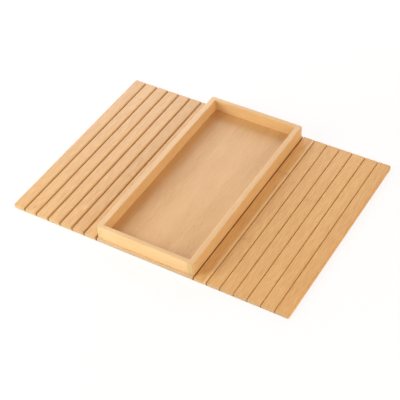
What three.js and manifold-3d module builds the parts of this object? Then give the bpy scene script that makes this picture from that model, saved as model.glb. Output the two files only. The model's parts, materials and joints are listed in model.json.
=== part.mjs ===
// A bamboo tray for the arm of a sofa: a shallow box on a mat of slats that bends over the arm.
// Millimetres, +Z up. X runs across the slats, Y along them, and the mat's underside lies at Z = 0.

import * as THREE from "three";
import { mergeVertices } from "three/addons/utils/BufferGeometryUtils.js";
import Module from "manifold-3d";

// Driving dimensions of the mat
const MAT_LENGTH = 328;
const BASE_WIDTH = 154.8;
const SLATS_PER_WING = 7;
const SLAT_WIDTH = 19.7;
const SLAT_GAP = 0.8;
const FIRST_SLAT_WIDTH = 19.1;
const FIRST_GAP = 1.4;
const LEFT_SHOULDER_RADIUS = 4;
const RIGHT_SHOULDER_RADIUS = 2;
const BOARD_THICKNESS = 5.1;
const BOARD_EDGE_EASE = 0.5;
const MAT_CORNER_RADIUS = 3;
const CLOTH_THICKNESS = 0.8;
const CLOTH_INSET = 0.8;
const CLOTH_FOLD_GAP = 0.5;

// Driving dimensions of the box
const END_LEDGE = 2.8;
const WALL_HEIGHT = 22;
const LONG_WALL_THICKNESS = 9;
const SHORT_WALL_THICKNESS = 7;
const RIM_EDGE_EASE = 1.2;
const BOX_CORNER_RADIUS = 3;
const FLOOR_THICKNESS = 3;
const REBATE_DEPTH = 3;

// Clearances
const GLUE_LINE = 0.1;
const PANEL_CLEARANCE = 0.3;

// Facets of the round edges and corners
const EASE_STEPS = 2;
const CORNER_STEPS = 5;
const SHOULDER_STEPS = 6;

// Levels and places worked out from the sizes above
const boardBottom = CLOTH_THICKNESS + GLUE_LINE;
const boardTop = boardBottom + BOARD_THICKNESS;
const wallBottom = boardTop + GLUE_LINE;
const wallTop = wallBottom + WALL_HEIGHT;
const boxWidth = BASE_WIDTH;
const boxLength = MAT_LENGTH - 2 * END_LEDGE;
const wellWidth = boxWidth - 2 * LONG_WALL_THICKNESS;
const wellLength = boxLength - 2 * SHORT_WALL_THICKNESS;
const rebateWidth = wellWidth + 2 * REBATE_DEPTH;
const rebateLength = wellLength + 2 * REBATE_DEPTH;

const bamboo = new THREE.MeshStandardMaterial({ color: 0xe0b27a, roughness: 0.5, metalness: 0 });
const veneer = new THREE.MeshStandardMaterial({ color: 0xdcb184, roughness: 0.55, metalness: 0 });
const cloth = new THREE.MeshStandardMaterial({ color: 0xb8a58a, roughness: 0.95, metalness: 0 });

const wasm = await Module();
wasm.setup();

// Rectangle between two corners. Its left or right corners are rounded where their radius isn't 0.
function rectangle(x0, x1, y0, y1, leftRadius = 0, rightRadius = 0) {
  const corners = [
    { x: x1 - rightRadius, y: y0 + rightRadius, radius: rightRadius, startAngle: -Math.PI / 2 },
    { x: x1 - rightRadius, y: y1 - rightRadius, radius: rightRadius, startAngle: 0 },
    { x: x0 + leftRadius, y: y1 - leftRadius, radius: leftRadius, startAngle: Math.PI / 2 },
    { x: x0 + leftRadius, y: y0 + leftRadius, radius: leftRadius, startAngle: Math.PI },
  ];
  const points = [];
  for (const { x, y, radius, startAngle } of corners) {
    const steps = radius > 0 ? CORNER_STEPS : 0;
    for (let step = 0; step <= steps; step += 1) {
      const angle = startAngle + (step / CORNER_STEPS) * (Math.PI / 2);
      points.push(new THREE.Vector2(x + radius * Math.cos(angle), y + radius * Math.sin(angle)));
    }
  }
  return new THREE.Shape(points);
}

// Outline of a strip on one side of the box, with its two outer corners rounded by a radius.
function wingOutline(side, inner, outer, halfLength, outerRadius) {
  return side > 0
    ? rectangle(inner, outer, -halfLength, halfLength, 0, outerRadius)
    : rectangle(-outer, -inner, -halfLength, halfLength, outerRadius, 0);
}

// Board of the given outline between two levels, with its top and bottom edges eased.
function easedBoard(outline, bottom, top, ease) {
  const board = new THREE.ExtrudeGeometry(outline, {
    depth: top - bottom - 2 * ease,
    bevelThickness: ease,
    bevelSize: ease,
    bevelOffset: -ease,
    bevelSegments: EASE_STEPS,
  });
  return board.translate(0, 0, bottom + ease);
}

// Sheet of the given outline between two levels, with square edges.
function sheet(outline, bottom, top) {
  const flat = new THREE.ExtrudeGeometry(outline, { depth: top - bottom, bevelEnabled: false });
  return flat.translate(0, 0, bottom);
}

function block(width, length, bottom, top) {
  return sheet(rectangle(-width / 2, width / 2, -length / 2, length / 2), bottom, top);
}

function toSolid(geometry) {
  const bare = geometry.clone();
  bare.deleteAttribute("normal");
  bare.deleteAttribute("uv");
  const merged = mergeVertices(bare);
  const vertProperties = new Float32Array(merged.attributes.position.array);
  const triVerts = new Uint32Array(merged.index.array);
  return new wasm.Manifold(new wasm.Mesh({ numProp: 3, vertProperties, triVerts }));
}

function toGeometry(solid) {
  const mesh = solid.getMesh();
  const geometry = new THREE.BufferGeometry();
  geometry.setAttribute("position", new THREE.BufferAttribute(mesh.vertProperties, 3));
  geometry.setIndex(new THREE.BufferAttribute(mesh.triVerts, 1));
  geometry.computeVertexNormals();
  return geometry;
}

// What a rounding tool takes off along the right-hand top edge of a slat.
function shoulderWaste(edge, top, length, radius) {
  const spare = BOARD_EDGE_EASE;
  const waste = new THREE.Shape();
  waste.absarc(edge - radius, top - radius, radius, 0, Math.PI / 2);
  waste.lineTo(edge - radius, top + spare);
  waste.lineTo(edge + spare, top + spare);
  waste.lineTo(edge + spare, top - radius);
  const options = { depth: length + 2 * spare, bevelEnabled: false, curveSegments: SHOULDER_STEPS };
  const strip = new THREE.ExtrudeGeometry(waste, options);
  return strip.rotateX(Math.PI / 2).translate(0, length / 2 + spare, 0);
}

const tray = new THREE.Group();

function addPiece(name, geometry, material) {
  const mesh = new THREE.Mesh(geometry, material);
  mesh.name = name;
  tray.add(mesh);
}

// Middle board of the mat and the cloth glued under it
const baseEdge = BASE_WIDTH / 2;
const matEnd = MAT_LENGTH / 2;
const clothEnd = matEnd - CLOTH_INSET;
const baseClothEdge = baseEdge + FIRST_GAP / 2 - CLOTH_FOLD_GAP / 2;
const baseOutline = rectangle(-baseEdge, baseEdge, -matEnd, matEnd);
addPiece("base_board", easedBoard(baseOutline, boardBottom, boardTop, BOARD_EDGE_EASE), bamboo);
addPiece("base_backing", block(2 * baseClothEdge, 2 * clothEnd, 0, CLOTH_THICKNESS), cloth);

// Box walls: one rim is shaped whole, rebated for the floor panel, and parted into four walls
const boxEdge = boxWidth / 2;
const boxEnd = boxLength / 2;
const rimOutline = rectangle(-boxEdge, boxEdge, -boxEnd, boxEnd, BOX_CORNER_RADIUS, BOX_CORNER_RADIUS);
rimOutline.holes.push(rectangle(-wellWidth / 2, wellWidth / 2, -wellLength / 2, wellLength / 2));
const rimStart = wallBottom - RIM_EDGE_EASE;
const belowWalls = block(BASE_WIDTH, MAT_LENGTH, rimStart - RIM_EDGE_EASE, wallBottom);
const panelTop = wallBottom + FLOOR_THICKNESS;
const rebate = block(rebateWidth, rebateLength, rimStart, panelTop + GLUE_LINE);
const rim = toSolid(easedBoard(rimOutline, rimStart, wallTop, RIM_EDGE_EASE))
  .subtract(toSolid(belowWalls))
  .subtract(toSolid(rebate));

for (const [name, side] of [["left", -1], ["right", 1]]) {
  const longWallZone = block(LONG_WALL_THICKNESS, MAT_LENGTH, rimStart, wallTop + RIM_EDGE_EASE);
  longWallZone.translate(side * (boxWidth - LONG_WALL_THICKNESS) / 2, 0, 0);
  addPiece(`${name}_wall`, toGeometry(rim.intersect(toSolid(longWallZone))), bamboo);
}
for (const [name, side] of [["front", -1], ["rear", 1]]) {
  const shortWallLength = wellWidth - 2 * GLUE_LINE;
  const shortWallZone = block(shortWallLength, SHORT_WALL_THICKNESS, rimStart, wallTop + RIM_EDGE_EASE);
  shortWallZone.translate(0, side * (boxLength - SHORT_WALL_THICKNESS) / 2, 0);
  addPiece(`${name}_wall`, toGeometry(rim.intersect(toSolid(shortWallZone))), bamboo);
}

// Floor panel, held in the walls' rebate and glued down on the middle board
const panelWidth = rebateWidth - 2 * PANEL_CLEARANCE;
const panelLength = rebateLength - 2 * PANEL_CLEARANCE;
addPiece("floor_panel", block(panelWidth, panelLength, wallBottom, panelTop), veneer);

// Wings: slats counted outwards from the box, each with the stretch of cloth that turns with it.
// All slats lie the same way round, with the rounded shoulder on the right.
const wings = [
  { name: "left", side: -1, shoulder: LEFT_SHOULDER_RADIUS },
  { name: "right", side: 1, shoulder: RIGHT_SHOULDER_RADIUS },
];
for (const { name, side, shoulder } of wings) {
  let edgeBefore = baseEdge;
  for (let count = 1; count <= SLATS_PER_WING; count += 1) {
    const isFirst = count === 1;
    const isLast = count === SLATS_PER_WING;
    const gap = isFirst ? FIRST_GAP : SLAT_GAP;
    const inner = edgeBefore + gap;
    const outer = inner + (isFirst ? FIRST_SLAT_WIDTH : SLAT_WIDTH);
    const clothInner = inner - gap / 2 + CLOTH_FOLD_GAP / 2;
    const clothOuter = isLast ? outer - CLOTH_INSET : outer + SLAT_GAP / 2 - CLOTH_FOLD_GAP / 2;
    const outerRadius = isLast ? MAT_CORNER_RADIUS : 0;
    const slatOutline = wingOutline(side, inner, outer, matEnd, outerRadius);
    const clothOutline = wingOutline(side, clothInner, clothOuter, clothEnd, outerRadius);
    const rightEdge = side > 0 ? outer : -inner;
    const blank = easedBoard(slatOutline, boardBottom, boardTop, BOARD_EDGE_EASE);
    const waste = shoulderWaste(rightEdge, boardTop, MAT_LENGTH, shoulder);
    const slat = toGeometry(toSolid(blank).subtract(toSolid(waste)));
    const backing = sheet(clothOutline, 0, CLOTH_THICKNESS);
    addPiece(`${name}_slat_${count}`, slat, bamboo);
    addPiece(`${name}_backing_${count}`, backing, cloth);
    edgeBefore = outer;
  }
}

export default tray;
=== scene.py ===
"""Armrest tray: a shallow bamboo box on a mat of cloth-backed slats that bends over the arm of a sofa.

Run as a script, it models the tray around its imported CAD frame. Sizes are in metres. X runs across the
slats, Y along them and Z up, and the mat's underside lies at Z = 0.
"""

import json
import math

import bmesh
import bpy
from mathutils import Matrix, Vector


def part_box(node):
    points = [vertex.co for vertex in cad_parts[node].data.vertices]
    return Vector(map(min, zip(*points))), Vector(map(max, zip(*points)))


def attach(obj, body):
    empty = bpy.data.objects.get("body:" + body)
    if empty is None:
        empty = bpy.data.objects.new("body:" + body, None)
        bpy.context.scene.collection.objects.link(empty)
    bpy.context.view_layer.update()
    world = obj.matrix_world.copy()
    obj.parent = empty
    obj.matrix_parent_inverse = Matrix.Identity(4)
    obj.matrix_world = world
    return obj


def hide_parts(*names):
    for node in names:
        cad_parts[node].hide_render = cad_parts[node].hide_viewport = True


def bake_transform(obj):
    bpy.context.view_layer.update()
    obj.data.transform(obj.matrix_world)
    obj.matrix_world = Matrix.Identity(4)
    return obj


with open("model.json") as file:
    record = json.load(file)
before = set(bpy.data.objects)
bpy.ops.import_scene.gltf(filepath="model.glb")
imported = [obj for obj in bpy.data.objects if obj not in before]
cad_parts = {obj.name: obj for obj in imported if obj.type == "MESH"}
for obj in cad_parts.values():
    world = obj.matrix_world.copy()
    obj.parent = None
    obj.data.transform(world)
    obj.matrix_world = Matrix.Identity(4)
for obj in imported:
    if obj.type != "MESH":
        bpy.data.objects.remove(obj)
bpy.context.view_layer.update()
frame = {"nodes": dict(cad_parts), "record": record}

bl_info = {
    "name": "Armrest Tray",
    "version": (1, 0, 0),
    "blender": (4, 5, 0),
    "location": "3D View > Sidebar > Armrest Tray",
    "description": "Models a bamboo armrest tray around its CAD frame",
    "category": "Add Mesh",
}

SIDES = ("left", "right")
SLATS_PER_WING = sum(node.startswith("right_slat_") for node in frame["nodes"])
BODY_OF_NODE = {
    node: body
    for body, nodes in frame["record"]["behaviour"]["bodies"].items()
    for node in nodes
}

# Closer than this, two points count as one level or one place
TOUCH = 1e-6
# A face whose normal rises or falls by more than this lies level
LEVEL_LEAN = 0.5
# Room that the walls' rebate leaves round the floor panel and above it
PANEL_CLEARANCE = 0.0003
GLUE_LINE = 0.0001
# Edges that turn more than this stay sharp
SHARP_ANGLE = math.radians(50)
# Edges that turn less than this are dissolved
FLAT_ANGLE = math.radians(0.2)
# Steps that make up each kind of rounding and each fold of the cloth
EDGE_SEGMENTS = 3
PANEL_SEGMENTS = 2
SHOULDER_SEGMENTS = 8
CORNER_SEGMENTS = 6
FOLD_SEGMENTS = 6
# Each strip of bamboo takes its own stretch of the grain. The slats' are listed outwards from the box.
SEED_STEP = 0.618
BASE_SEED = 31
PANEL_SEED = 51
WALL_SEEDS = {"left": 41, "right": 42, "front": 43, "rear": 44}
SLAT_SEEDS = {
    "left": (29, 30, 33, 60, 47, 87, 68),
    "right": (2, 66, 53, 96, 22, 98, 85),
}
# Names that the meshes and the materials share
SEED_ATTRIBUTE = "strip_seed"
END_ATTRIBUTE = "cut_end"
GAP_ATTRIBUTE = "gap_side"
CUT_MAP = "flat_cut"
GRAIN_GROUP = "Bamboo grain"
# Axes that the grain can run along
ACROSS = 0
ALONG = 1
# A face that leans at least this far along the grain is a cut end
END_LEAN = 0.7
# Levels between which painted shade darkens the boards' sides down into a gap, where shade falls. The
# left wing's broad shoulders take this painted shade early, and the middle board's sides, under the
# walls, take it from the top.
BOARD_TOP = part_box("base_board")[1].z
SLAT_PAINTED_SHADE_LEVELS = {
    "left": (BOARD_TOP + 0.0005, BOARD_TOP - 0.0030),
    "right": (BOARD_TOP - 0.0006, BOARD_TOP - 0.0026),
}
BASE_PAINTED_SHADE_LEVELS = (BOARD_TOP + 0.0002, BOARD_TOP - 0.0006)
# A face that leans at least this far towards a gap is one of its sides
GAP_LEAN = 0.15
# Noises of the bamboo's figure: how many grains to the metre along X, Y and Z, and how much detail
GRAIN_NOISES = {
    "Mottle": ((600, 60, 600), 2.0),
    "Fibre": ((1500, 26, 1500), 3.0),
    "Band": ((300, 5, 300), 2.0),
    "Cloud": ((45, 12, 45), 2.0),
    "Fleck": ((1100, 110, 1100), 1.0),
    "Smudge": ((170, 90, 170), 2.0),
}
TONE_NOISES = ("Mottle", "Fibre", "Band", "Cloud")
# How far a strip's seed shifts the grain and spreads the share of dark tone, and that share's middle
SEED_SHIFT = (0.37, 1.13, 0.29)
SEED_SPREAD = 7.31
DARK_SHARE = 0.42
# Noise levels between which the flecks, the places that have them and the parts of a node mark set in
FLECK_LEVELS = (0.6, 0.74)
FLECK_PLACES = (0.42, 0.62)
MARK_PARTS = (0.48, 0.7)
# Distances from a node between which its mark sets in, and how far the mark wanders
MARK_REACH = (0.006, 0.0004)
MARK_WAVE = 0.02
# How high a fleck stands beside a fibre, and how rough the lacquer is at least and is more on a fibre
FLECK_HEIGHT = -0.35
LEAST_ROUGHNESS = 0.40
FIBRE_ROUGHNESS = 0.16
# The cloth's uneven threads, and how the threads share out the cloth's two tones: lighter crowns and
# painted shade in the hollows
SLUB_NOISE = ((900, 120, 1), 2.0)
SLUB_SHARE = 0.5
THREAD_SHARE = 0.75
# How strongly each part of the bamboo's figure shows, and shades that differ from the settings
SLAT_FIGURE = {
    "Fibre Contrast": 0.8,
    "Band Contrast": 0.45,
    "Cloud Contrast": 0.5,
    "Mottle Contrast": 1.5,
    "Fleck Strength": 0.3,
    "Node Strength": 0.3,
    "End Shade": (0.84, 0.945, 1.24, 1.0),
}
# The middle board's sides take a deeper painted shadow than the slats' sides, for the walls' shadow over
# them
BASE_FIGURE = {
    **SLAT_FIGURE,
    "End Shade": (0.82, 0.83, 0.91, 1.0),
    "Gap Shade": (0.6, 0.28, 0.09, 1.0),
}
WALL_FIGURE = {
    "Fibre Contrast": 0.6,
    "Band Contrast": 0.5,
    "Cloud Contrast": 0.5,
    "Mottle Contrast": 0.6,
    "Fleck Strength": 0.25,
    "Node Strength": 0.2,
}
VENEER_FIGURE = {
    "Fibre Contrast": 0.6,
    "Band Contrast": 0.45,
    "Cloud Contrast": 0.9,
    "Mottle Contrast": 0.55,
    "Fleck Strength": 0.6,
    "Node Strength": 0.1,
}
# Painted shadow of the left wall darkens the veneer along its left edge: the places across it between
# which this sets in, and by how much its share of dark tone changes there and all over
VENEER_SHADOW_EDGE = (-0.018, -0.046)
VENEER_SHADOW_TONE = 0.5
VENEER_FIELD_TONE = -0.15
# A painted highlight, in the walls' paler tone, runs along the first right slat's right edge where it
# catches
# the light: the places across it between which it sets in and ends, and by how much its share of dark
# tone changes
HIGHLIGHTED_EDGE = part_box("right_slat_1")[1].x
HIGHLIGHT_START = (HIGHLIGHTED_EDGE - 0.0049, HIGHLIGHTED_EDGE - 0.0029)
HIGHLIGHT_END = (HIGHLIGHTED_EDGE - 0.0009, HIGHLIGHTED_EDGE - 0.0025)
HIGHLIGHT_TONE = -0.7
# The floor lies just under the tray and reaches this far from it
FLOOR_LEVEL = -0.0002
FLOOR_REACH = 4.0
# Share of the floor that the eye looks through, and the light that it gives off itself
FLOOR_CLEARNESS = 0.8
FLOOR_GLOW = 0.2
# Distances between which the floor melts into the white surroundings
FLOOR_FADE_START = 0.45
FLOOR_FADE_END = 1.1
# Softboxes stand in a ring and face the tray. Azimuth 0 is in front of it and 90 degrees to its right.
SOFTBOX_SIZE = 0.7
SOFTBOX_DISTANCE = 1.1
SOFTBOX_ELEVATION = math.radians(25)
SOFTBOX_AZIMUTHS = {
    "front_left": math.radians(315),
    "rear_left": math.radians(225),
    "front_right": math.radians(45),
    "rear": math.radians(180),
    "right": math.radians(90),
}
# Daylight comes from the left and a warmer light from the right and the rear
SOFTBOX_TINTS = {
    "front_left": (0.965, 1.0, 0.93),
    "rear_left": (0.78, 1.0, 1.42),
    "front_right": (0.91, 1.0, 1.09),
    "rear": (1.0, 1.0, 0.85),
    "right": (1.22, 1.0, 0.7),
}
# Lens and sensor in millimetres, the camera's place, and where its right side and its back point
CAMERA_LENS = 104.83
CAMERA_SENSOR = 36.0
CAMERA_PLACE = (0.65245, -1.04933, 1.15229)
CAMERA_RIGHT = Vector((0.86326, 0.50352, -0.03559))
CAMERA_BACK = Vector((0.38604, -0.61313, 0.68923))


# Settings


def colour_setting(name, description, default):
    """Colour that a user can change."""
    return bpy.props.FloatVectorProperty(
        name=name,
        description=description,
        subtype="COLOR",
        size=4,
        min=0.0,
        max=1.0,
        default=default,
    )


class MatSettings(bpy.types.PropertyGroup):
    """Sizes of the mat's boards and of the cloth under them."""

    left_shoulder: bpy.props.FloatProperty(
        name="Left slats' shoulder",
        description="Radius of the rounded right-hand top edge of each slat of the left wing",
        default=0.004,
        min=0.0005,
        max=0.0045,
        precision=4,
        unit="LENGTH",
    )
    right_shoulder: bpy.props.FloatProperty(
        name="Right slats' shoulder",
        description="Radius of the rounded right-hand top edge of each slat of the right wing",
        default=0.002,
        min=0.0005,
        max=0.0045,
        precision=4,
        unit="LENGTH",
    )
    edge_radius: bpy.props.FloatProperty(
        name="Board edge",
        description="Radius of the other, eased edges of the slats and of the middle board",
        default=0.0005,
        min=0.0002,
        max=0.001,
        precision=4,
        unit="LENGTH",
    )
    corner_radius: bpy.props.FloatProperty(
        name="Mat corner",
        description="Radius of the mat's four corners, seen from above",
        default=0.003,
        min=0.0005,
        max=0.009,
        precision=4,
        unit="LENGTH",
    )
    thread_pitch: bpy.props.FloatProperty(
        name="Thread pitch",
        description="Distance from one thread of the backing cloth to the next",
        default=0.0011,
        min=0.0003,
        max=0.003,
        precision=4,
        unit="LENGTH",
    )


class BoxSettings(bpy.types.PropertyGroup):
    """Sizes of the box's walls and floor panel."""

    rim_radius: bpy.props.FloatProperty(
        name="Rim edge",
        description="Radius of the eased edges along the top of the walls",
        default=0.0012,
        min=0.0002,
        max=0.003,
        precision=4,
        unit="LENGTH",
    )
    corner_radius: bpy.props.FloatProperty(
        name="Box corner",
        description="Radius of the box's four upright outer corners",
        default=0.003,
        min=0.0005,
        max=0.006,
        precision=4,
        unit="LENGTH",
    )
    panel_radius: bpy.props.FloatProperty(
        name="Panel edge",
        description="Radius of the eased edges of the floor panel",
        default=0.0003,
        min=0.0001,
        max=0.001,
        precision=4,
        unit="LENGTH",
    )


class FinishSettings(bpy.types.PropertyGroup):
    """Colours of the bamboo, the veneer and the cloth."""

    slat_light: colour_setting(
        "Slats, light",
        "Pale tone between the fibres of the slats",
        (0.788, 0.50, 0.198, 1.0),
    )
    slat_dark: colour_setting(
        "Slats, dark",
        "Deeper tone of the slats' fibres",
        (0.61, 0.33, 0.106, 1.0),
    )
    base_light: colour_setting(
        "Middle board, light",
        "Pale tone between the fibres of the middle board",
        (0.77, 0.57, 0.33, 1.0),
    )
    base_dark: colour_setting(
        "Middle board, dark",
        "Deeper tone of the middle board's fibres",
        (0.59, 0.38, 0.18, 1.0),
    )
    wall_light: colour_setting(
        "Walls, light",
        "Pale tone between the fibres of the box's walls",
        (0.864, 0.618, 0.322, 1.0),
    )
    wall_dark: colour_setting(
        "Walls, dark",
        "Deeper tone of the walls' fibres",
        (0.672, 0.412, 0.172, 1.0),
    )
    end_shade: colour_setting(
        "Walls, end grain",
        "Shade that the cut ends of the box's walls take on",
        (0.84, 0.90, 0.84, 1.0),
    )
    # Painted shade on the slats' sides down in a gap, where shade falls
    painted_gap_shade: colour_setting(
        "Slats, painted gap shade",
        "Painted shade on the slats' sides down in a gap",
        (0.58, 0.42, 0.3, 1.0),
    )
    node_tone: colour_setting(
        "Node marks",
        "Brown of the marks where the bamboo's joints were",
        (0.36, 0.17, 0.06, 1.0),
    )
    veneer_light: colour_setting(
        "Veneer, light",
        "Pale tone of the floor panel's veneer",
        (0.775, 0.507, 0.234, 1.0),
    )
    veneer_dark: colour_setting(
        "Veneer, dark",
        "Deeper tone of the veneer's streaks",
        (0.62, 0.363, 0.14, 1.0),
    )
    cloth_light: colour_setting(
        "Cloth, light",
        "Crown of the backing cloth's threads",
        (0.52, 0.42, 0.29, 1.0),
    )
    # Painted shade in the hollows between the threads
    cloth_dark: colour_setting(
        "Cloth, dark",
        "Hollows between the backing cloth's threads",
        (0.25, 0.18, 0.11, 1.0),
    )


class StageSettings(bpy.types.PropertyGroup):
    """Light and floor of the studio."""

    front_left: bpy.props.FloatProperty(
        name="Front left softbox",
        description="Power of the softbox at the front left",
        default=10.4,
        min=0.0,
        unit="POWER",
    )
    rear_left: bpy.props.FloatProperty(
        name="Rear left softbox",
        description="Power of the softbox at the rear left",
        default=4.9,
        min=0.0,
        unit="POWER",
    )
    front_right: bpy.props.FloatProperty(
        name="Front right softbox",
        description="Power of the softbox at the front right",
        default=2.8,
        min=0.0,
        unit="POWER",
    )
    rear: bpy.props.FloatProperty(
        name="Rear softbox",
        description="Power of the softbox at the rear",
        default=3.95,
        min=0.0,
        unit="POWER",
    )
    right: bpy.props.FloatProperty(
        name="Right softbox",
        description="Power of the softbox at the right",
        default=3.6,
        min=0.0,
        unit="POWER",
    )
    ambient: colour_setting(
        "Ambient",
        "Even light from all round",
        (0.22, 0.088, 0.031, 1.0),
    )


class TraySettings(bpy.types.PropertyGroup):
    """All settings of the tray."""

    mat: bpy.props.PointerProperty(type=MatSettings, name="Mat", description="Sizes of the mat")
    box: bpy.props.PointerProperty(type=BoxSettings, name="Box", description="Sizes of the box")
    finish: bpy.props.PointerProperty(
        type=FinishSettings, name="Finish", description="Colours of the materials"
    )
    stage: bpy.props.PointerProperty(
        type=StageSettings, name="Stage", description="Light and floor"
    )


# Modelling helpers


def add_block(bm, low, high):
    """Adds a block between two corners."""
    verts = bmesh.ops.create_cube(bm, size=1.0)["verts"]
    bmesh.ops.scale(bm, vec=high - low, verts=verts)
    bmesh.ops.translate(bm, vec=(low + high) / 2, verts=verts)
    bm.normal_update()


def round_edges(bm, edges, radius, segments):
    """Rounds edges by a radius."""
    bmesh.ops.bevel(
        bm,
        geom=edges,
        offset=radius,
        offset_type="OFFSET",
        segments=segments,
        profile=0.5,
        affect="EDGES",
        clamp_overlap=True,
        material=-1,
    )
    bm.normal_update()


def upright_edges(bm):
    """Edges that run straight up."""
    return [edge for edge in bm.edges if abs(edge.verts[0].co.z - edge.verts[1].co.z) > TOUCH]


def outline_at(bm, level):
    """Edges at a level where a flat face meets an upright one."""
    return [
        edge
        for edge in bm.edges
        if all(abs(vert.co.z - level) < TOUCH for vert in edge.verts)
        and any(abs(face.normal.z) < LEVEL_LEAN for face in edge.link_faces)
    ]


def edges_at(edges, x):
    """Those of some edges that lie wholly at one X."""
    return [edge for edge in edges if all(abs(vert.co.x - x) < TOUCH for vert in edge.verts)]


def cut(bm, place, normal, keep_ahead=False):
    """Cuts the mesh along a plane. With keep_ahead, only what lies ahead of it stays, and is closed."""
    geom = bm.verts[:] + bm.edges[:] + bm.faces[:]
    bmesh.ops.bisect_plane(
        bm, geom=geom, dist=TOUCH, plane_co=place, plane_no=normal, clear_inner=keep_ahead
    )
    if keep_ahead:
        open_edges = [edge for edge in bm.edges if edge.is_boundary]
        bmesh.ops.holes_fill(bm, edges=open_edges, sides=0)
    bm.normal_update()


def new_piece(bm, name, node, material):
    """Makes an object of a finished bmesh that stands for a CAD node, and hides that node's part."""
    bmesh.ops.recalc_face_normals(bm, faces=bm.faces[:])
    mesh = bpy.data.meshes.new(name)
    bm.to_mesh(mesh)
    bm.free()
    mesh.shade_smooth()
    mesh.set_sharp_from_angle(angle=SHARP_ANGLE)
    mesh.materials.append(material)
    piece = bpy.data.objects.new(name, mesh)
    bpy.context.scene.collection.objects.link(piece)
    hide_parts(node)
    return piece


def wood_piece(bm, name, node, material, seed, grain_axis=ALONG, gap_sides=()):
    """Makes a wooden piece that moves with its CAD node's body and has its own stretch of the grain.

    gap_sides are the directions along X, -1 and 1, in which the piece faces a gap in the mat; its sides
    there take painted shade.
    """
    piece = new_piece(bm, name, node, material)
    mesh = piece.data
    strip_seed = mesh.attributes.new(SEED_ATTRIBUTE, "FLOAT", "POINT")
    strip_seed.data.foreach_set("value", [seed * SEED_STEP] * len(mesh.vertices))
    cut_ends = [float(abs(face.normal[grain_axis]) > END_LEAN) for face in mesh.polygons]
    mesh.attributes.new(END_ATTRIBUTE, "FLOAT", "FACE").data.foreach_set("value", cut_ends)
    # Faces towards a gap take the painted gap shade down in it
    in_gaps = [
        float(any(face.normal.x * side > GAP_LEAN for side in gap_sides)) for face in mesh.polygons
    ]
    mesh.attributes.new(GAP_ATTRIBUTE, "FLOAT", "FACE").data.foreach_set("value", in_gaps)
    flat_faces = piece.modifiers.new("Flat faces", "WEIGHTED_NORMAL")
    flat_faces.keep_sharp = True
    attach(piece, BODY_OF_NODE[node])


def round_corner(bm, corner, radius):
    """Rounds off the upright corner at an outermost point of the mesh, in flat cuts round an arc."""
    across = math.copysign(1, corner.x)
    along = math.copysign(1, corner.y)
    centre = Vector((corner.x - across * radius, corner.y - along * radius, 0))
    for step in range(CORNER_SEGMENTS):
        angle = (step + 0.5) / CORNER_SEGMENTS * math.pi / 2
        outward = Vector((across * math.cos(angle), along * math.sin(angle), 0))
        cut(bm, centre + outward * radius, -outward, keep_ahead=True)


def board_mesh(low, high, sizes, shoulder_radius=0.0, corner_x=None):
    """Board with eased edges. A slat has a rounded right-hand top edge too, and maybe round corners."""
    bm = bmesh.new()
    add_block(bm, low, high)
    if shoulder_radius > 0:
        shoulder = edges_at(outline_at(bm, high.z), high.x)
        round_edges(bm, shoulder, shoulder_radius, SHOULDER_SEGMENTS)
    if corner_x is not None:
        for corner_y in (low.y, high.y):
            round_corner(bm, Vector((corner_x, corner_y, 0)), sizes.corner_radius)
    sharp_edges = [edge for edge in bm.edges if edge.calc_face_angle() > SHARP_ANGLE]
    round_edges(bm, sharp_edges, sizes.edge_radius, EDGE_SEGMENTS)
    return bm


def rim_mesh(sizes):
    """All four walls in one ring, rebated below for the floor panel."""
    low = Vector(map(min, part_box("left_wall")[0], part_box("front_wall")[0]))
    high = Vector(map(max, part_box("right_wall")[1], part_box("rear_wall")[1]))
    well_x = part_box("right_wall")[0].x
    well_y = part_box("rear_wall")[0].y
    panel_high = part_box("floor_panel")[1]
    bm = bmesh.new()
    add_block(bm, low, high)
    round_edges(bm, upright_edges(bm), sizes.corner_radius, CORNER_SEGMENTS)
    for side in (-1, 1):
        cut(bm, (side * well_x, 0, 0), (1, 0, 0))
        cut(bm, (0, side * well_y, 0), (0, 1, 0))
    well_faces = [
        face
        for face in bm.faces
        if abs(face.normal.z) > LEVEL_LEAN
        and abs(face.calc_center_median().x) < well_x
        and abs(face.calc_center_median().y) < well_y
    ]
    bmesh.ops.delete(bm, geom=well_faces, context="FACES")
    open_edges = [edge for edge in bm.edges if edge.is_boundary]
    upper_loop = [edge for edge in open_edges if edge.verts[0].co.z > (low.z + high.z) / 2]
    lower_loop = [edge for edge in open_edges if edge not in upper_loop]
    lower_verts = list({vert for edge in lower_loop for vert in edge.verts})
    rebate_x = panel_high.x + PANEL_CLEARANCE
    rebate_y = panel_high.y + PANEL_CLEARANCE
    bmesh.ops.scale(bm, vec=(rebate_x / well_x, rebate_y / well_y, 1), verts=lower_verts)
    ledge = panel_high.z + GLUE_LINE
    for loop, level in ((upper_loop, high.z), (lower_loop, low.z)):
        made = bmesh.ops.extrude_edge_only(bm, edges=loop)["geom"]
        verts = [item for item in made if isinstance(item, bmesh.types.BMVert)]
        bmesh.ops.translate(bm, vec=(0, 0, ledge - level), verts=verts)
    bmesh.ops.bridge_loops(bm, edges=[edge for edge in bm.edges if edge.is_boundary])
    bmesh.ops.recalc_face_normals(bm, faces=bm.faces[:])
    round_edges(bm, outline_at(bm, high.z), sizes.rim_radius, EDGE_SEGMENTS)
    return bm


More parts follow.
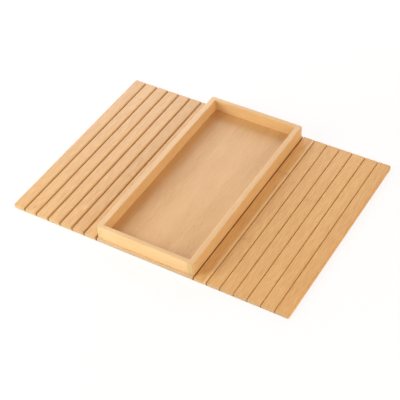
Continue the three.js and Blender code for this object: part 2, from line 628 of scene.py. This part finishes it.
def wall_mesh(name, sizes):
    """One wall, parted from the ring. The long walls run through, the short ones stand between them."""
    bm = rim_mesh(sizes)
    low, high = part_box(name)
    if name in ("left_wall", "right_wall"):
        side = math.copysign(1, low.x + high.x)
        inner = min(abs(low.x), abs(high.x))
        cut(bm, (side * inner, 0, 0), (side, 0, 0), keep_ahead=True)
    else:
        side = math.copysign(1, low.y + high.y)
        cut(bm, (0, 0, 0), (0, side, 0), keep_ahead=True)
        cut(bm, (low.x, 0, 0), (1, 0, 0), keep_ahead=True)
        cut(bm, (high.x, 0, 0), (-1, 0, 0), keep_ahead=True)
    bmesh.ops.dissolve_limit(bm, angle_limit=FLAT_ANGLE, verts=bm.verts[:], edges=bm.edges[:])
    return bm


# Materials


def add_node(tree, kind, title, place, options=None, values=None):
    """Adds a node with its title, its place in the editor, its options and its inputs' values."""
    node = tree.nodes.new(kind)
    node.name = title
    node.label = title
    node.location = place
    for key, value in (options or {}).items():
        setattr(node, key, value)
    for key, value in (values or {}).items():
        node.inputs[key].default_value = value
    return node


def add_math(tree, operation, title, place, first, second=None, third=None):
    """Adds a Math node. Each operand is a number or another node's output."""
    node = add_node(tree, "ShaderNodeMath", title, place, {"operation": operation})
    for index, operand in enumerate((first, second, third)):
        if operand is None:
            continue
        if isinstance(operand, bpy.types.NodeSocket):
            tree.links.new(operand, node.inputs[index])
        else:
            node.inputs[index].default_value = operand
    return node.outputs["Value"]


def new_group(name, inputs, outputs):
    """Starts a shader node group with named inputs and outputs. Returns it and its two end nodes."""
    group = bpy.data.node_groups.new(name, "ShaderNodeTree")
    for title, kind, default in inputs:
        socket = group.interface.new_socket(title, in_out="INPUT", socket_type=kind)
        if default is not None:
            socket.default_value = default
    for title, kind in outputs:
        group.interface.new_socket(title, in_out="OUTPUT", socket_type=kind)
    start = add_node(group, "NodeGroupInput", "Inputs", (-1400, 0))
    end = add_node(group, "NodeGroupOutput", "Outputs", (1000, 0))
    return group, start, end


def stretched_noise(tree, title, place, vector, stretch, detail):
    """Noise from 0 to 1 whose grains are as many to the metre, along X, Y and Z, as stretch says."""
    scaled = add_node(
        tree, "ShaderNodeVectorMath", title + " size", place, {"operation": "MULTIPLY"}, {1: stretch}
    )
    tree.links.new(vector, scaled.inputs[0])
    noise = add_node(
        tree,
        "ShaderNodeTexNoise",
        title,
        (place[0] + 180, place[1]),
        {"noise_dimensions": "3D"},
        {"Scale": 1.0, "Detail": detail, "Roughness": 0.55},
    )
    tree.links.new(scaled.outputs["Vector"], noise.inputs["Vector"])
    return noise.outputs["Fac"]


def smooth_step(tree, title, place, value, start, end):
    """Soft step from 0 to 1 as a value goes from start to end."""
    step = add_node(
        tree,
        "ShaderNodeMapRange",
        title,
        place,
        {"interpolation_type": "SMOOTHSTEP"},
        {"From Min": start, "From Max": end},
    )
    tree.links.new(value, step.inputs["Value"])
    return step.outputs["Result"]


def bamboo_group():
    """Node group for bamboo with its fibres along Y: bands and clouds of tone, node marks, cut ends."""
    if GRAIN_GROUP in bpy.data.node_groups:
        return bpy.data.node_groups[GRAIN_GROUP]
    colour = "NodeSocketColor"
    value = "NodeSocketFloat"
    tree, start, end = new_group(
        GRAIN_GROUP,
        [
            ("Vector", "NodeSocketVector", None),
            ("Seed", value, 0.0),
            ("Cut End", value, 0.0),
            ("Light Tone", colour, (0.8, 0.5, 0.25, 1.0)),
            ("Dark Tone", colour, (0.6, 0.3, 0.12, 1.0)),
            ("Node Tone", colour, (0.4, 0.2, 0.08, 1.0)),
            ("End Shade", colour, (0.8, 0.8, 0.8, 1.0)),
            ("Gap Depth", value, 0.0),
            ("Gap Shade", colour, (0.5, 0.5, 0.5, 1.0)),
            ("Fibre Contrast", value, 0.5),
            ("Band Contrast", value, 0.5),
            ("Cloud Contrast", value, 0.5),
            ("Mottle Contrast", value, 0.5),
            ("Fleck Strength", value, 0.2),
            ("Tone Shift", value, 0.3),
            ("Tone Lean", value, 0.0),
            ("Node Spacing", value, 0.27),
            ("Node Strength", value, 0.3),
        ],
        [("Color", colour), ("Height", value), ("Roughness", value)],
    )
    inputs = start.outputs
    moved = add_node(
        tree,
        "ShaderNodeVectorMath",
        "Own stretch of grain",
        (-1200, 200),
        {"operation": "MULTIPLY_ADD"},
        {1: SEED_SHIFT},
    )
    tree.links.new(inputs["Seed"], moved.inputs[0])
    tree.links.new(inputs["Vector"], moved.inputs[2])
    vector = moved.outputs["Vector"]
    noises = {}
    for row, (title, (stretch, detail)) in enumerate(GRAIN_NOISES.items()):
        place = (-1000, 750 - 250 * row)
        noises[title] = stretched_noise(tree, title, place, vector, stretch, detail)

    own = add_math(tree, "MULTIPLY", "Seed spread", (-600, -60), inputs["Seed"], SEED_SPREAD)
    own = add_math(tree, "FRACT", "Own tone", (-420, -60), own)
    own = add_math(tree, "SUBTRACT", "Own tone about zero", (-240, -60), own, 0.5)
    shift = inputs["Tone Shift"]
    tone = add_math(tree, "MULTIPLY_ADD", "Share of dark tone", (-60, -60), own, shift, DARK_SHARE)
    # Painted shadow, painted highlight and a tone shift lean the share of dark tone
    tone = add_math(tree, "ADD", "With lean", (120, -60), tone, inputs["Tone Lean"])
    for row, title in enumerate(TONE_NOISES):
        level = 700 - 200 * row
        part = add_math(tree, "SUBTRACT", title + " about zero", (-600, level), noises[title], 0.5)
        contrast = inputs[title + " Contrast"]
        tone = add_math(tree, "MULTIPLY_ADD", "With " + title, (-240, level), part, contrast, tone)
    fleck = smooth_step(tree, "Dark fleck", (-600, -250), noises["Fleck"], *FLECK_LEVELS)
    where = smooth_step(tree, "Where flecks are", (-600, -400), noises["Cloud"], *FLECK_PLACES)
    fleck = add_math(tree, "MULTIPLY", "Flecks in places", (-420, -250), fleck, where)
    strength = inputs["Fleck Strength"]
    tone = add_math(tree, "MULTIPLY_ADD", "With flecks", (300, 400), fleck, strength, tone)

    parts = add_node(tree, "ShaderNodeSeparateXYZ", "Along the grain", (-1000, -750))
    tree.links.new(vector, parts.inputs["Vector"])
    spacing = inputs["Node Spacing"]
    along = add_math(tree, "DIVIDE", "Node count", (-800, -750), parts.outputs["Y"], spacing)
    along = add_math(tree, "FRACT", "From node to node", (-620, -750), along)
    along = add_math(tree, "SUBTRACT", "From the node", (-440, -750), along, 0.5)
    along = add_math(tree, "MULTIPLY", "Distance", (-260, -750), along, spacing)
    wave = noises["Cloud"]
    along = add_math(tree, "MULTIPLY_ADD", "Wavy distance", (-80, -750), wave, MARK_WAVE, along)
    along = add_math(tree, "ABSOLUTE", "Either side", (100, -750), along)
    mark = smooth_step(tree, "Node mark", (280, -750), along, *MARK_REACH)
    broken = smooth_step(tree, "Broken up", (-600, -550), noises["Smudge"], *MARK_PARTS)
    mark = add_math(tree, "MULTIPLY", "Broken mark", (460, -750), mark, broken)
    mark = add_math(tree, "MULTIPLY", "Mark strength", (640, -750), mark, inputs["Node Strength"])

    wood = add_node(tree, "ShaderNodeMix", "Wood tone", (640, 300), {"data_type": "RGBA"})
    tree.links.new(tone, wood.inputs["Factor"])
    tree.links.new(inputs["Light Tone"], wood.inputs["A"])
    tree.links.new(inputs["Dark Tone"], wood.inputs["B"])
    marked = add_node(tree, "ShaderNodeMix", "With node marks", (820, 300), {"data_type": "RGBA"})
    tree.links.new(mark, marked.inputs["Factor"])
    tree.links.new(wood.outputs["Result"], marked.inputs["A"])
    tree.links.new(inputs["Node Tone"], marked.inputs["B"])
    shaded = marked
    # Cut ends take their own end-grain shade, and faces in a gap take painted shade
    for title, mask, level in (("End", "Cut End", 60), ("Gap", "Gap Depth", -140)):
        before = shaded.outputs["Result"]
        shaded = add_node(
            tree,
            "ShaderNodeMix",
            "With " + title + " Shade",
            (820, level),
            {"data_type": "RGBA", "blend_type": "MULTIPLY"},
        )
        tree.links.new(inputs[mask], shaded.inputs["Factor"])
        tree.links.new(before, shaded.inputs["A"])
        tree.links.new(inputs[title + " Shade"], shaded.inputs["B"])
    fibres = noises["Fibre"]
    roughness = add_math(
        tree, "MULTIPLY_ADD", "Roughness", (640, 60), fibres, FIBRE_ROUGHNESS, LEAST_ROUGHNESS
    )
    height = add_math(tree, "MULTIPLY_ADD", "Height", (640, -100), fleck, FLECK_HEIGHT, fibres)
    tree.links.new(shaded.outputs["Result"], end.inputs["Color"])
    tree.links.new(height, end.inputs["Height"])
    tree.links.new(roughness, end.inputs["Roughness"])
    return tree


def bamboo_material(name, light, dark, colours, figure, grain_turn=0.0, painted_shade_levels=BASE_PAINTED_SHADE_LEVELS):
    """Lacquered bamboo with its grain along Y, or turned about Z, and a figure of given strengths."""
    if name in bpy.data.materials:
        return bpy.data.materials[name]
    material = bpy.data.materials.new(name)
    material.use_nodes = True
    tree = material.node_tree
    shader = tree.nodes["Principled BSDF"]
    place = add_node(tree, "ShaderNodeTexCoord", "Place", (-1000, 0))
    turned = add_node(tree, "ShaderNodeMapping", "Grain direction", (-800, 0))
    turned.inputs["Rotation"].default_value = (0.0, 0.0, grain_turn)
    tree.links.new(place.outputs["Object"], turned.inputs["Vector"])
    seed = add_node(
        tree, "ShaderNodeAttribute", "Strip seed", (-800, -300), {"attribute_name": SEED_ATTRIBUTE}
    )
    cut_end = add_node(
        tree, "ShaderNodeAttribute", "Cut end", (-800, -500), {"attribute_name": END_ATTRIBUTE}
    )
    gap_side = add_node(
        tree, "ShaderNodeAttribute", "Gap side", (-800, -700), {"attribute_name": GAP_ATTRIBUTE}
    )
    parts = add_node(tree, "ShaderNodeSeparateXYZ", "Coordinates", (-800, 250))
    tree.links.new(place.outputs["Object"], parts.inputs["Vector"])
    # Painted shade darkens the boards' sides down in a gap
    depth = smooth_step(tree, "Down in a gap", (-800, 500), parts.outputs["Z"], *painted_shade_levels)
    depth = add_math(tree, "MULTIPLY", "Gap depth", (-600, -500), depth, gap_side.outputs["Fac"])
    grain = add_node(tree, "ShaderNodeGroup", GRAIN_GROUP, (-560, 0))
    grain.node_tree = bamboo_group()
    grain.inputs["Light Tone"].default_value = light
    grain.inputs["Dark Tone"].default_value = dark
    grain.inputs["Node Tone"].default_value = colours.node_tone
    grain.inputs["End Shade"].default_value = colours.end_shade
    grain.inputs["Gap Shade"].default_value = colours.painted_gap_shade
    tree.links.new(depth, grain.inputs["Gap Depth"])
    for title, strength in figure.items():
        grain.inputs[title].default_value = strength
    tree.links.new(turned.outputs["Vector"], grain.inputs["Vector"])
    tree.links.new(seed.outputs["Fac"], grain.inputs["Seed"])
    tree.links.new(cut_end.outputs["Fac"], grain.inputs["Cut End"])
    relief = {"Strength": 0.25, "Distance": 0.0002}
    bump = add_node(tree, "ShaderNodeBump", "Fibre relief", (-300, -250), None, relief)
    tree.links.new(grain.outputs["Height"], bump.inputs["Height"])
    tree.links.new(grain.outputs["Color"], shader.inputs["Base Color"])
    tree.links.new(grain.outputs["Roughness"], shader.inputs["Roughness"])
    tree.links.new(bump.outputs["Normal"], shader.inputs["Normal"])
    return material


def paint_wall_shadow(material):
    """Paints the left wall's shadow on the veneer along its left edge, and shifts its tone all over."""
    tree = material.node_tree
    across = tree.nodes["Coordinates"].outputs["X"]
    edge = smooth_step(tree, "Darker edge", (-800, 750), across, *VENEER_SHADOW_EDGE)
    lean = add_math(
        tree, "MULTIPLY_ADD", "Tone lean", (-600, 750), edge, VENEER_SHADOW_TONE, VENEER_FIELD_TONE
    )
    tree.links.new(lean, tree.nodes[GRAIN_GROUP].inputs["Tone Lean"])


def add_painted_highlight(material, colours):
    """Paints a highlight, in the walls' pale tone, along the first right slat's right edge."""
    tree = material.node_tree
    across = tree.nodes["Coordinates"].outputs["X"]
    start = smooth_step(tree, "Into the stripe", (-1000, 750), across, *HIGHLIGHT_START)
    end = smooth_step(tree, "Out of the stripe", (-1000, 1000), across, *HIGHLIGHT_END)
    stripe = add_math(tree, "MULTIPLY", "Pale stripe", (-800, 750), start, end)
    lean = add_math(tree, "MULTIPLY", "Tone lean", (-600, 750), stripe, HIGHLIGHT_TONE)
    # The painted highlight takes the walls' paler tone
    light = add_node(tree, "ShaderNodeMix", "Light tone", (-600, 1000), {"data_type": "RGBA"})
    light.inputs["A"].default_value = colours.slat_light
    light.inputs["B"].default_value = colours.wall_light
    tree.links.new(stripe, light.inputs["Factor"])
    grain = tree.nodes[GRAIN_GROUP]
    tree.links.new(lean, grain.inputs["Tone Lean"])
    tree.links.new(light.outputs["Result"], grain.inputs["Light Tone"])


def cloth_material(colours, sizes):
    """Plain-woven cotton canvas, laid out on the flat cut."""
    name = "Backing canvas"
    if name in bpy.data.materials:
        return bpy.data.materials[name]
    material = bpy.data.materials.new(name)
    material.use_nodes = True
    tree = material.node_tree
    shader = tree.nodes["Principled BSDF"]
    shader.inputs["Roughness"].default_value = 0.92
    shader.inputs["Sheen Weight"].default_value = 0.25
    shader.inputs["Sheen Roughness"].default_value = 0.5
    cut_map = add_node(tree, "ShaderNodeUVMap", "Flat cut", (-1400, 0), {"uv_map": CUT_MAP})
    parts = add_node(tree, "ShaderNodeSeparateXYZ", "Across and along", (-1200, 0))
    tree.links.new(cut_map.outputs["UV"], parts.inputs["Vector"])
    turns = math.pi / sizes.thread_pitch
    warp = add_math(tree, "MULTIPLY", "Warp count", (-1000, 100), parts.outputs["X"], turns)
    weft = add_math(tree, "MULTIPLY", "Weft count", (-1000, -100), parts.outputs["Y"], turns)
    warp = add_math(tree, "SINE", "Warp", (-820, 100), warp)
    weft = add_math(tree, "SINE", "Weft", (-820, -100), weft)
    weave = add_math(tree, "MULTIPLY", "Over and under", (-640, 0), warp, weft)
    height = add_math(tree, "ABSOLUTE", "Thread crowns", (-460, 0), weave)
    slub = stretched_noise(tree, "Slubs", (-1000, -350), cut_map.outputs["UV"], *SLUB_NOISE)
    # Lighter crowns and painted shade in the hollows, with the slubs' own uneven tone
    tone = add_math(tree, "MULTIPLY_ADD", "Thread tone", (-280, -100), slub, SLUB_SHARE, height)
    tone = add_math(tree, "MULTIPLY", "Tone share", (-100, -100), tone, THREAD_SHARE)
    colour = add_node(tree, "ShaderNodeMix", "Cloth tone", (80, 100), {"data_type": "RGBA"})
    colour.inputs["A"].default_value = colours.cloth_dark
    colour.inputs["B"].default_value = colours.cloth_light
    tree.links.new(tone, colour.inputs["Factor"])
    relief = {"Strength": 0.6, "Distance": 0.0003}
    bump = add_node(tree, "ShaderNodeBump", "Weave relief", (80, -250), None, relief)
    tree.links.new(tone, bump.inputs["Height"])
    tree.links.new(colour.outputs["Result"], shader.inputs["Base Color"])
    tree.links.new(bump.outputs["Normal"], shader.inputs["Normal"])
    return material


# Pieces


class ARMREST_TRAY_OT_base_board(bpy.types.Operator):
    """Make the middle board of the mat, which the box stands on"""

    bl_idname = "armrest_tray.base_board"
    bl_label = "Middle Board"

    def execute(self, context):
        settings = context.scene.armrest_tray
        colours = settings.finish
        low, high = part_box("base_board")
        bm = board_mesh(low, high, settings.mat)
        finish = bamboo_material(
            "Bamboo middle board", colours.base_light, colours.base_dark, colours, BASE_FIGURE
        )
        wood_piece(bm, "board_base", "base_board", finish, BASE_SEED, gap_sides=(-1, 1))
        return {"FINISHED"}


class ARMREST_TRAY_OT_slats(bpy.types.Operator):
    """Make the slats of both wings, counted outwards from the box"""

    bl_idname = "armrest_tray.slats"
    bl_label = "Slats"

    def execute(self, context):
        settings = context.scene.armrest_tray
        colours = settings.finish
        bamboo = (colours.slat_light, colours.slat_dark, colours, SLAT_FIGURE)
        shoulders = {"left": settings.mat.left_shoulder, "right": settings.mat.right_shoulder}
        for side in SIDES:
            levels = SLAT_PAINTED_SHADE_LEVELS[side]
            finish = bamboo_material(f"Bamboo {side} slats", *bamboo, painted_shade_levels=levels)
            # Painted highlight along the first right slat's right edge
            if side == "right":
                add_painted_highlight(finish, colours)
            inward = 1 if side == "left" else -1
            for count in range(1, SLATS_PER_WING + 1):
                node = f"{side}_slat_{count}"
                low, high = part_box(node)
                is_last = count == SLATS_PER_WING
                corner_x = max(low.x, high.x, key=abs) if is_last else None
                gap_sides = (inward,) if is_last else (-1, 1)
                bm = board_mesh(low, high, settings.mat, shoulders[side], corner_x)
                seed = SLAT_SEEDS[side][count - 1]
                wood_piece(bm, f"slat_{side}_{count}", node, finish, seed, gap_sides=gap_sides)
        return {"FINISHED"}


class ARMREST_TRAY_OT_walls(bpy.types.Operator):
    """Make the four walls of the box"""

    bl_idname = "armrest_tray.walls"
    bl_label = "Box Walls"

    def execute(self, context):
        settings = context.scene.armrest_tray
        colours = settings.finish
        bamboo = (colours.wall_light, colours.wall_dark, colours, WALL_FIGURE)
        lengthwise = bamboo_material("Bamboo long walls", *bamboo)
        crosswise = bamboo_material("Bamboo short walls", *bamboo, grain_turn=math.pi / 2)
        walls = {
            "left": (lengthwise, ALONG),
            "right": (lengthwise, ALONG),
            "front": (crosswise, ACROSS),
            "rear": (crosswise, ACROSS),
        }
        for side, (finish, grain_axis) in walls.items():
            node = f"{side}_wall"
            bm = wall_mesh(node, settings.box)
            wood_piece(bm, f"wall_{side}", node, finish, WALL_SEEDS[side], grain_axis)
        return {"FINISHED"}


class ARMREST_TRAY_OT_floor_panel(bpy.types.Operator):
    """Make the veneered floor panel, held in the walls' rebate"""

    bl_idname = "armrest_tray.floor_panel"
    bl_label = "Floor Panel"

    def execute(self, context):
        settings = context.scene.armrest_tray
        colours = settings.finish
        finish = bamboo_material(
            "Floor veneer", colours.veneer_light, colours.veneer_dark, colours, VENEER_FIGURE
        )
        # Painted shadow of the left wall along the veneer's left edge
        paint_wall_shadow(finish)
        low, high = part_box("floor_panel")
        bm = bmesh.new()
        add_block(bm, low, high)
        round_edges(bm, bm.edges[:], settings.box.panel_radius, PANEL_SEGMENTS)
        wood_piece(bm, "panel_floor", "floor_panel", finish, PANEL_SEED)
        return {"FINISHED"}


class ARMREST_TRAY_OT_backing_cloth(bpy.types.Operator):
    """Make the cloth that is glued under the mat, cut where it folds between the slats"""

    bl_idname = "armrest_tray.backing_cloth"
    bl_label = "Backing Cloth"

    def execute(self, context):
        settings = context.scene.armrest_tray
        finish = cloth_material(settings.finish, settings.mat)
        board_low, board_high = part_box("base_board")
        low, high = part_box("base_backing")
        base_low = Vector((board_low.x, low.y, low.z))
        base_high = Vector((board_high.x, high.y, high.z))
        base = self.strip("cloth_base", "base_backing", base_low, base_high, finish, ())
        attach(base, BODY_OF_NODE["base_backing"])
        for side in SIDES:
            edge = board_high.x if side == "right" else board_low.x
            for count in range(1, SLATS_PER_WING + 1):
                edge = self.wing_strip(side, count, edge, finish, settings.mat)
        return {"FINISHED"}

    def wing_strip(self, side, count, start_x, finish, sizes):
        """Cloth from the edge of the board before to the outer edge of one slat, which is returned."""
        node = f"{side}_backing_{count}"
        low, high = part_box(node)
        slat_low, slat_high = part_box(f"{side}_slat_{count}")
        is_last = count == SLATS_PER_WING
        if side == "right":
            slat_x = slat_low.x
            end_x = high.x if is_last else slat_high.x
        else:
            slat_x = slat_high.x
            end_x = low.x if is_last else slat_low.x
        strip_low = Vector((min(start_x, end_x), low.y, low.z))
        strip_high = Vector((max(start_x, end_x), high.y, high.z))
        folds = [
            start_x + (slat_x - start_x) * step / FOLD_SEGMENTS
            for step in range(1, FOLD_SEGMENTS + 1)
        ]
        rounded_x = end_x if is_last else None
        name = f"cloth_{side}_{count}"
        piece = self.strip(name, node, strip_low, strip_high, finish, folds, rounded_x, sizes)
        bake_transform(piece)
        return end_x

    def strip(self, name, node, low, high, finish, folds, rounded_x=None, sizes=None):
        """Flat cloth between two corners, with cuts where it folds and a map of its flat cut."""
        bm = bmesh.new()
        add_block(bm, low, high)
        if rounded_x is not None:
            corners = edges_at(upright_edges(bm), rounded_x)
            round_edges(bm, corners, sizes.corner_radius, CORNER_SEGMENTS)
        for x in folds:
            cut(bm, (x, 0, 0), (1, 0, 0))
        layer = bm.loops.layers.uv.new(CUT_MAP)
        for face in bm.faces:
            for loop in face.loops:
                loop[layer].uv = loop.vert.co.xy
        return new_piece(bm, name, node, finish)


# Stage


class ARMREST_TRAY_OT_stage(bpy.types.Operator):
    """Make the floor, the light and the camera"""

    bl_idname = "armrest_tray.stage"
    bl_label = "Stage"

    def execute(self, context):
        scene = context.scene
        scene.view_settings.view_transform = "Standard"
        self.floor(scene)
        self.world(scene)
        self.lamps(scene)
        self.camera(scene)
        return {"FINISHED"}

    def floor(self, scene):
        """Pale floor that keeps the tray's shadow."""
        bm = bmesh.new()
        bmesh.ops.create_grid(bm, x_segments=1, y_segments=1, size=FLOOR_REACH)
        bmesh.ops.translate(bm, vec=(0, 0, FLOOR_LEVEL), verts=bm.verts[:])
        mesh = bpy.data.meshes.new("studio_floor")
        bm.to_mesh(mesh)
        bm.free()
        mesh.materials.append(self.floor_material())
        floor = bpy.data.objects.new("studio_floor", mesh)
        scene.collection.objects.link(floor)

    def floor_material(self):
        """White that is part clear to the eye, so that a wing folded below the floor still shows."""
        material = bpy.data.materials.new("Studio floor")
        material.use_nodes = True
        tree = material.node_tree
        shader = tree.nodes["Principled BSDF"]
        shader.inputs["Base Color"].default_value = (0.9, 0.9, 0.9, 1.0)
        shader.inputs["Roughness"].default_value = 0.9
        shader.inputs["Specular IOR Level"].default_value = 0.0
        shader.inputs["Emission Color"].default_value = (1.0, 1.0, 1.0, 1.0)
        shader.inputs["Emission Strength"].default_value = FLOOR_GLOW
        clear = add_node(tree, "ShaderNodeBsdfTransparent", "Clear", (0, -300))
        place = add_node(tree, "ShaderNodeTexCoord", "Place", (-1200, 500))
        distance = add_node(
            tree, "ShaderNodeVectorMath", "Distance", (-1000, 500), {"operation": "LENGTH"}
        )
        tree.links.new(place.outputs["Object"], distance.inputs[0])
        share = smooth_step(
            tree, "Far off", (-800, 500), distance.outputs["Value"], FLOOR_FADE_START, FLOOR_FADE_END
        )
        share = add_math(tree, "MAXIMUM", "Clearness", (-600, 500), share, FLOOR_CLEARNESS)
        path = add_node(tree, "ShaderNodeLightPath", "Kind of ray", (-600, 200))
        share = add_math(
            tree, "MULTIPLY", "Clear to the eye", (-400, 200), path.outputs["Is Camera Ray"], share
        )
        share = add_math(
            tree, "MAXIMUM", "Clear to the lamps", (-200, 200), share, path.outputs["Is Shadow Ray"]
        )
        mixed = add_node(tree, "ShaderNodeMixShader", "By ray", (300, 0))
        tree.links.new(share, mixed.inputs["Fac"])
        tree.links.new(shader.outputs["BSDF"], mixed.inputs[1])
        tree.links.new(clear.outputs["BSDF"], mixed.inputs[2])
        tree.links.new(mixed.outputs["Shader"], tree.nodes["Material Output"].inputs["Surface"])
        return material

    def world(self, scene):
        """White surroundings for the eye and for reflections, and softer even light on the tray."""
        world = bpy.data.worlds.new("Studio")
        scene.world = world
        world.use_nodes = True
        tree = world.node_tree
        ambient = tree.nodes["Background"]
        ambient.inputs["Color"].default_value = scene.armrest_tray.stage.ambient
        ambient.inputs["Strength"].default_value = 1.0
        white = add_node(tree, "ShaderNodeBackground", "White", (0, -150))
        white.inputs["Color"].default_value = (1.0, 1.0, 1.0, 1.0)
        white.inputs["Strength"].default_value = 1.0
        path = add_node(tree, "ShaderNodeLightPath", "Kind of ray", (-400, 200))
        rays = path.outputs
        seen = add_math(
            tree, "MAXIMUM", "Seen", (-200, 200), rays["Is Camera Ray"], rays["Is Glossy Ray"]
        )
        seen = add_math(
            tree, "MAXIMUM", "Seen through", (0, 200), seen, rays["Is Transmission Ray"]
        )
        mixed = add_node(tree, "ShaderNodeMixShader", "By ray", (200, 0))
        tree.links.new(seen, mixed.inputs["Fac"])
        tree.links.new(ambient.outputs["Background"], mixed.inputs[1])
        tree.links.new(white.outputs["Background"], mixed.inputs[2])
        tree.links.new(mixed.outputs["Shader"], tree.nodes["World Output"].inputs["Surface"])

    def lamps(self, scene):
        """Low softboxes round the tray."""
        for key, azimuth in SOFTBOX_AZIMUTHS.items():
            lamp = bpy.data.lights.new(key, "AREA")
            lamp.shape = "SQUARE"
            lamp.size = SOFTBOX_SIZE
            lamp.energy = getattr(scene.armrest_tray.stage, key)
            lamp.color = SOFTBOX_TINTS[key]
            softbox = bpy.data.objects.new(key, lamp)
            turn = Matrix.Rotation(azimuth, 3, "Z") @ Matrix.Rotation(-SOFTBOX_ELEVATION, 3, "X")
            softbox.location = turn @ Vector((0, -SOFTBOX_DISTANCE, 0))
            softbox.rotation_euler = (-softbox.location).to_track_quat("-Z", "Y").to_euler()
            scene.collection.objects.link(softbox)

    def camera(self, scene):
        """Camera at the viewing angle of a catalogue picture."""
        data = bpy.data.cameras.new("Camera")
        data.lens = CAMERA_LENS
        data.sensor_width = CAMERA_SENSOR
        camera = bpy.data.objects.new("Camera", data)
        up = CAMERA_BACK.cross(CAMERA_RIGHT)
        turn = Matrix((CAMERA_RIGHT, up, CAMERA_BACK)).transposed()
        camera.matrix_world = Matrix.Translation(CAMERA_PLACE) @ turn.to_4x4()
        scene.collection.objects.link(camera)
        scene.camera = camera


# Sidebar and registration


class VIEW3D_PT_armrest_tray(bpy.types.Panel):
    """Settings and build steps of the armrest tray"""

    bl_label = "Armrest Tray"
    bl_space_type = "VIEW_3D"
    bl_region_type = "UI"
    bl_category = "Armrest Tray"

    def draw(self, context):
        settings = context.scene.armrest_tray
        for title, group in (
            ("Mat", settings.mat),
            ("Box", settings.box),
            ("Finish", settings.finish),
            ("Stage", settings.stage),
        ):
            section = self.layout.box()
            section.label(text=title)
            for key in group.__annotations__:
                section.prop(group, key)
        for operator in OPERATORS:
            self.layout.operator(operator.bl_idname)


OPERATORS = (
    ARMREST_TRAY_OT_base_board,
    ARMREST_TRAY_OT_slats,
    ARMREST_TRAY_OT_walls,
    ARMREST_TRAY_OT_floor_panel,
    ARMREST_TRAY_OT_backing_cloth,
    ARMREST_TRAY_OT_stage,
)
CLASSES = (
    MatSettings,
    BoxSettings,
    FinishSettings,
    StageSettings,
    TraySettings,
    *OPERATORS,
    VIEW3D_PT_armrest_tray,
)


def register():
    """Registers the settings, the operators and the panel."""
    for item in CLASSES:
        bpy.utils.register_class(item)
    bpy.types.Scene.armrest_tray = bpy.props.PointerProperty(type=TraySettings)


def unregister():
    """Takes the settings, the operators and the panel out again."""
    del bpy.types.Scene.armrest_tray
    for item in reversed(CLASSES):
        bpy.utils.unregister_class(item)


def main():
    """Builds the tray and its stage."""
    register()
    bpy.ops.armrest_tray.base_board()
    bpy.ops.armrest_tray.slats()
    bpy.ops.armrest_tray.walls()
    bpy.ops.armrest_tray.floor_panel()
    bpy.ops.armrest_tray.backing_cloth()
    bpy.ops.armrest_tray.stage()


if __name__ == "__main__":
    main()
